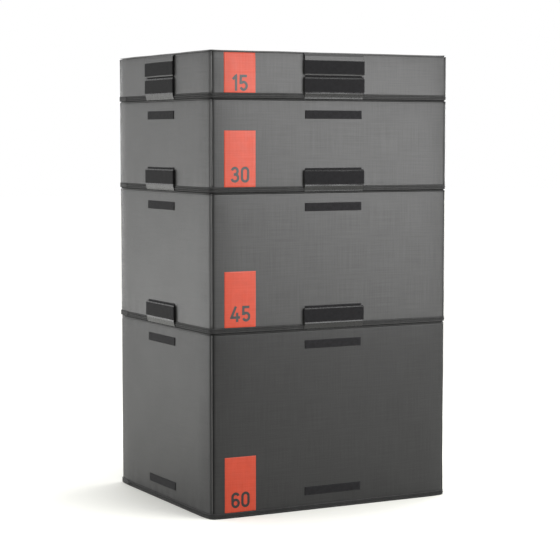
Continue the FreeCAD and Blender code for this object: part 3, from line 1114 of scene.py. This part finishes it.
def make_strips(box):
    """Loop strips sewn to the four sides."""
    parts = Parts()
    thread = Parts()
    levels = [box.height / 2] if box.free_top else [STRIP_LOW, box.height - STRIP_BELOW_TOP]
    line = perimeter(STRIP, STRIP_ROW)
    for side, (_, normal) in SIDES.items():
        for level in levels:
            z = box.foot + level
            seed = level * 40 + len(side)

            def place(u, v, w):
                uneven = STRIP_WAVE * ripple(u, 0, 0, STRIP_WAVE_LENGTH, seed)
                return tuple(box.on(side, u, w + pile(u, v, w, seed), z + v + uneven))

            parts.add(*slab(place, STRIP))
            row = [box.on(side, u, STRIP_ROW_OUT, z + v) for u, v in line]
            stitches(thread, row, [normal] * len(row), SHORT_PITCH, SHORT_LENGTH)
    parts.build(box.name, "strips", LOOP, "hook_and_loop", "loop_strips")
    thread.build(box.name, "strip_thread", THREAD, "hook_and_loop")


# Flaps

SEWN_OUT = 0.7 * MM
LONG_TIP = 5 * MM
SHORT_TIP = 3.2 * MM
SLOW_TURN = 20 * MM
QUICK_TURN = 9 * MM
FRONT_FULLNESS = 2.0 * MM
SIDE_FULLNESS = 0.8 * MM
HANGING_FULLNESS = 0.3 * MM
BULGE_RISE = 17.5 * MM
BULGE_REACH = 2.6 * MM
LOOSE_WAVE = 0.35 * MM
BROAD_LENGTH = 50 * MM
FINE_LENGTH = 20 * MM
LOOSE_LENGTH = 60 * MM
FLAP_COLUMNS = 90
FLAP_NARROWING = 0.982
BLEND_OUT = 2 * MM
BLEND_RISE = 7 * MM
PAD = Slab(FLAP_WIDTH, FLAP_LENGTH - PAD_MARGIN - FLAP_ROOT, 2.0 * MM, 0.9 * MM, 44, 10, 0.1 * MM)
PAD_ROW = 2.4 * MM
PAD_ROW_OUT = 1.9 * MM
PAD_WAVE = 0.6 * MM
PAD_WAVE_LENGTH = 100 * MM
PAD_SEAT = 0.8  # a pad's back lies this far out in the tongue's half thickness


class Flap:
    """A joining flap's place, with points by their distance along the seam, out, and on from the seam."""

    def __init__(self, box, row, side):
        self.box = box
        self.side = side
        self.name = f"{box.name}_{row}_flap_{side}"
        self.bottom = row == "bottom"
        self.way = 1 if self.bottom else -1
        self.level = box.foot + ROOT_RISE if self.bottom else box.top - ROOT_DROP
        self.seed = box.height * 3 + 2 * list(SIDES).index(side) + (0.7 if self.bottom else 0.0)

    def at(self, along, out, rise):
        return self.box.at(self.side, along, out, self.level + self.way * rise)


def tongue_route(flap):
    """The tongue's line from its seam to its tip, as distances out and on."""
    tip = FLAP_LENGTH + (LONG_TIP if flap.box.free_top and flap.bottom else SHORT_TIP)
    steep = flap.bottom and flap.side in ("left", "back")
    # Close rows over the loose part, and wide ones between the pads
    rises = [*np.linspace(0, FLAP_ROOT + 1 * MM, 26), *np.linspace(FLAP_ROOT + 8 * MM, tip, 7)]
    route = []
    for h in rises:
        t = min(1.0, h / (SLOW_TURN if flap.bottom else QUICK_TURN))
        eased = t * (2 - t) if steep else t * t * (3 - 2 * t)
        route.append((SEWN_OUT + (HINGE_STANDOFF - SEWN_OUT) * eased, h))
    return route


def make_tongue(flap):
    """A vinyl tongue that turns out from the seam, a little loose between the seam and the pads."""
    seed = flap.seed
    full = HANGING_FULLNESS
    if flap.bottom:
        full = FRONT_FULLNESS if flap.side == "front" else SIDE_FULLNESS
    columns = np.linspace(-FLAP_WIDTH / 2, FLAP_WIDTH / 2, FLAP_COLUMNS)
    route = tongue_route(flap)
    lengths = running(route)
    verts, uv = [], []
    for (out, rise), length in zip(route, lengths):
        bulge = full * bell(rise - BULGE_RISE, BULGE_REACH)
        loose = LOOSE_WAVE * math.sin(math.pi * min(1.0, rise / FLAP_ROOT))
        for a in columns:
            broad = ripple(a, 0, 0, BROAD_LENGTH, seed)
            fine = ripple(a, rise, 0, FINE_LENGTH, seed + 4)
            wave = ripple(a, rise, 0, LOOSE_LENGTH, seed + 9)
            push = bulge * (0.6 + 0.5 * broad + 0.1 * fine) + loose * wave
            verts.append(tuple(flap.at(a * FLAP_NARROWING, out + push, rise)))
            uv.append((a, length))
    faces = grid_faces(FLAP_COLUMNS, len(route))
    if not flap.bottom:
        faces = [f[::-1] for f in faces]
    tongue = mesh_object(f"{flap.name}_sheet", verts, faces, TONGUE if flap.bottom else HANGING, uv=uv)
    thick = tongue.modifiers.new("cloth", "SOLIDIFY")
    thick.thickness = 1.1 * MM
    thick.offset = 0.0
    sewn_end = tuple(flap.at(0, BLEND_OUT, 0))
    free_end = tuple(flap.at(0, HINGE_STANDOFF, BLEND_RISE))
    if flap.side in (("front", "right") if flap.bottom else ("back", "left")):
        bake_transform(tongue)
    else:
        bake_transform(tongue)
    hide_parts(f"{flap.name}_tongue")


def make_pads(flap):
    """A pile pad sewn to each face of the tongue."""
    parts = Parts()
    thread = Parts()
    normal = SIDES[flap.side][1]
    middle = FLAP_ROOT + PAD.height / 2
    line = perimeter(PAD, PAD_ROW)
    for face in (1, -1):
        back = HINGE_STANDOFF + face * TONGUE_THICKNESS / 2 * PAD_SEAT

        def place(u, v, w):
            uneven = PAD_WAVE * ripple(u, 0, 0, PAD_WAVE_LENGTH, flap.seed)
            out = back + face * (w + pile(u, v, w, flap.seed + face))
            return tuple(flap.at(u * face * flap.way, out, middle + v + uneven))

        parts.add(*slab(place, PAD))
        row = [Vector(place(u, v, PAD_ROW_OUT)) for u, v in line]
        stitches(thread, row, [normal * face] * len(row), SHORT_PITCH, SHORT_LENGTH)
    parts.build(flap.name, "pile", HOOK, "hook_and_loop", "pads")
    thread.build(flap.name, "thread", THREAD, "hook_and_loop")


# Labels with the boxes' heights

LABEL_LEFT = -398 * MM
LABEL_RIGHT = -287 * MM
LABEL_BOTTOM = 17.8 * MM
LABEL_TOP = 198 * MM
LABEL_BELOW_TOP = 5 * MM
LABEL = Slab(LABEL_RIGHT - LABEL_LEFT, LABEL_TOP - LABEL_BOTTOM, 0.35 * MM, 0.3 * MM, 28, 40, 0.2 * MM)


def curve(cx, cy, rx, ry, start, end, count=18):
    """Points along an elliptical arc, with angles in degrees."""
    angles = np.radians(np.linspace(start, end, count))
    return [(cx + rx * math.cos(a), cy + ry * math.sin(a)) for a in angles]


# Strokes of the numerals, in millimetres from the lower left of each, and the numerals' widths
STROKES = {
    "0": [[*curve(15, 36, 11, 11, 0, 180), *curve(15, 15, 11, 11, 180, 360), (26, 36)]],
    "1": [[(2.5, 36), (14, 48), (14, 0)]],
    "3": [
        [*curve(14, 36.6, 10, 10.2, 165, -85), (10, 26.4)],
        [(10, 26.4), *curve(14.5, 15.4, 11.3, 11.2, 88, -165)],
    ],
    "4": [[(20, 50.5), (4.4, 14.5), (35, 14.5)], [(24.5, 30), (24.5, 0)]],
    "5": [[(27, 47), (5.4, 47), (4.8, 25.5), *curve(15, 16, 11, 12, 128, -158)]],
    "6": [[*curve(15, 35.5, 11, 11.5, 22, 180), (4, 26), *curve(15, 15.5, 11, 11.5, 180, 540, 30)]],
}
DIGIT_WIDTH = {"0": 30, "1": 20, "3": 30, "4": 36, "5": 30, "6": 30}
DIGIT_GAP = 5.5
DIGIT_STROKE = 8.6
DIGIT_STEP = 2.5
MITRE_LIMIT = 1.6
DIGIT_SUNK = 0.2
DIGIT_PROUD = 0.6
LAYER_RISE = 0.03  # a stroke that crosses another lies this much higher


def dense(points):
    """The same line with points close together."""
    line = []
    for a, b in zip(points, points[1:]):
        line += between(a, b, DIGIT_STEP, 1)
    return [*line, points[-1]]


def ribbon(points, half_width):
    """Left and right edges of a stroke along a line of points."""
    left, right = [], []
    steps = [np.subtract(b, a) for a, b in zip(points, points[1:])]
    for k, p in enumerate(points):
        ways = [d / np.linalg.norm(d) for d in steps[max(k - 1, 0) : k + 1]]
        mean = sum(ways)
        mean = mean / np.linalg.norm(mean)
        mitre = 1 / max(1 / MITRE_LIMIT, float(np.dot(mean, ways[0])))
        square = np.array([-mean[1], mean[0]]) * half_width * mitre
        left.append(np.add(p, square))
        right.append(np.subtract(p, square))
    return left, right


def make_label(box):
    """A printed patch with the box's height in centimetres."""
    top = min(LABEL_TOP, box.height - LABEL_BELOW_TOP)
    mid_x = (LABEL_LEFT + LABEL_RIGHT) / 2
    mid_z = box.foot + (LABEL_BOTTOM + top) / 2

    def place(u, v, w):
        return tuple(box.on("front", mid_x + u, w, mid_z + v))

    verts, faces, uv = slab(place, LABEL._replace(height=top - LABEL_BOTTOM))
    patch = Parts()
    patch.add(verts, faces, [(mid_x + u, mid_z + v) for u, v in uv])
    patch.build(box.name, "label", PRINT, "cover_vinyl")

    number = box.look.number
    start = mid_x - (sum(DIGIT_WIDTH[d] for d in number) + DIGIT_GAP) / 2 * MM
    base = box.foot + box.look.rise
    figures = Parts()
    for digit in number:
        for layer, stroke in enumerate(STROKES[digit]):
            proud = DIGIT_PROUD + LAYER_RISE * layer
            rings = []
            for a, b in zip(*ribbon(dense(stroke), DIGIT_STROKE / 2)):
                ring = ((b, DIGIT_SUNK), (b, proud), (a, proud), (a, DIGIT_SUNK))
                places = [(start + p[0] * MM, w * MM, base + p[1] * MM) for p, w in ring]
                rings.append([tuple(box.on("front", *place)) for place in places])
            verts, faces = sweep(rings, False)
            figures.add(verts, faces, [(v[0], v[2]) for v in verts])
        start += (DIGIT_WIDTH[digit] + DIGIT_GAP) * MM
    figures.build(box.name, "number", FIGURE[box.name], "cover_vinyl", smooth=False)


# Stage

FLOOR_GLOW = 0.56
SHADE_POWER = 1.7
WHITE = (1, 1, 1, 1)

# Each lamp's name, place, aim, size, roll and spread in degrees, and power in watts
LAMPS = [
    ("key", (0.72, -1.9, 1.46), (-0.05, -0.375, 1.22), (2.0, 1.1), -48, 180, 43),
    ("low_right", (2.2, -2.0, 0.5), (0.45, -0.375, 0.4), (0.6, 0.9), 0, 120, 2.2),
    ("edge", (-3.0, 0.5, 0.8), (-0.45, -0.375, 0.75), (0.5, 1.6), 0, 100, 6),
    ("left", (-2.4, 2.2, 0.9), (-0.45, 0.0, 0.6), (2.2, 1.8), 0, 100, 6.4),
    ("low_left", (-2.1, 1.7, 0.3), (-0.45, 0.0, 0.25), (1.8, 0.6), 0, 120, 3.6),
    ("right", (2.8, 1.4, 0.85), (0.45, 0.1, 0.75), (2.0, 1.2), 0, 100, 20),
    ("rear", (0.6, 3.2, 0.9), (0.1, 0.375, 0.8), (2.0, 1.2), 0, 80, 10),
    ("top", (0.05, 0.1, 2.75), (0.0, 0.0, 1.5), (1.0, 1.0), 0, 180, 9),
]

CAMERA_DOWN = 4.53  # degrees
CAMERA_TURN = -27.98


def seen_rays(nodes):
    """1 for rays by which a surface is seen, straight or in a reflection, else 0."""
    rays = nodes.node("ShaderNodeLightPath").outputs
    bounced = nodes.math("MAXIMUM", rays["Is Glossy Ray"], rays["Is Transmission Ray"])
    return nodes.math("MAXIMUM", rays["Is Camera Ray"], bounced)


def make_floor():
    """A plain pale floor that is seen as white, apart from the object's shadow: cast in its diffuse part, and
    painted into its glow by ambient occlusion.
    """
    bpy.ops.mesh.primitive_plane_add(size=60, location=(0, 0, 0))
    floor = bpy.context.object
    floor.name = "floor"
    material = bpy.data.materials.new("floor")
    nodes = Nodes(material)
    nodes.tree.nodes.clear()
    glow = nodes.math("MULTIPLY", seen_rays(nodes), FLOOR_GLOW)
    # Ambient occlusion dims the white glow near the object: a painted contact shadow
    painted_shadow = nodes.node("ShaderNodeAmbientOcclusion", {"Distance": 0.9}).outputs["AO"]
    shaded = nodes.math("MULTIPLY", glow, nodes.math("POWER", painted_shadow, SHADE_POWER))
    diffuse = nodes.node("ShaderNodeBsdfDiffuse", {"Color": (0.8, 0.8, 0.75, 1)}).outputs[0]
    white = nodes.node("ShaderNodeEmission", {"Color": (1, 1, 0.98, 1), "Strength": shaded}).outputs[0]
    both = nodes.node("ShaderNodeAddShader", {0: diffuse, 1: white}).outputs[0]
    nodes.node("ShaderNodeOutputMaterial", {"Surface": both})
    floor.data.materials.append(material)


def make_world():
    """A white surround, dimmer as a light than as it is seen."""
    world = bpy.data.worlds.new("studio")
    bpy.context.scene.world = world
    nodes = Nodes(world)
    nodes.tree.nodes.clear()
    dim = nodes.node("ShaderNodeBackground", {"Color": WHITE, "Strength": 0.62}).outputs[0]
    white = nodes.node("ShaderNodeBackground", {"Color": WHITE, "Strength": 1.0}).outputs[0]
    mix = nodes.node("ShaderNodeMixShader", {0: seen_rays(nodes), 1: dim, 2: white}).outputs[0]
    nodes.node("ShaderNodeOutputWorld", {"Surface": mix})


def make_stage():
    """Floor and surround, soft studio light, and the camera at the photograph's place."""
    scene = bpy.context.scene
    scene.view_settings.view_transform = "Standard"
    make_floor()
    make_world()
    for name, place, aim, size, roll, spread, power in LAMPS:
        data = bpy.data.lights.new(name, "AREA")
        data.shape = "RECTANGLE"
        data.size, data.size_y = size
        data.spread = math.radians(spread)
        data.energy = power
        lamp = bpy.data.objects.new(name, data)
        lamp.location = place
        facing = (Vector(aim) - Vector(place)).to_track_quat("-Z", "Y")
        lamp.rotation_euler = (facing @ Quaternion((0, 0, 1), math.radians(roll))).to_euler()
        lamp.visible_camera = False
        scene.collection.objects.link(lamp)

    data = bpy.data.cameras.new("camera")
    data.sensor_width = 36
    data.lens = 114.67
    data.clip_end = 100
    camera = bpy.data.objects.new("camera", data)
    camera.location = (-2.902, -5.464, 1.222)
    camera.rotation_euler = (math.radians(90 - CAMERA_DOWN), 0, math.radians(CAMERA_TURN))
    scene.collection.objects.link(camera)
    scene.camera = camera


for name in LOOKS:
    box = Box(name)
    make_cover(box)
    make_binding(box)
    make_zip(box)
    make_base(box)
    make_strips(box)
    for row in box.look.flaps:
        for side in SIDES:
            flap = Flap(box, row, side)
            make_tongue(flap)
            make_pads(flap)
    make_label(box)
make_stage()
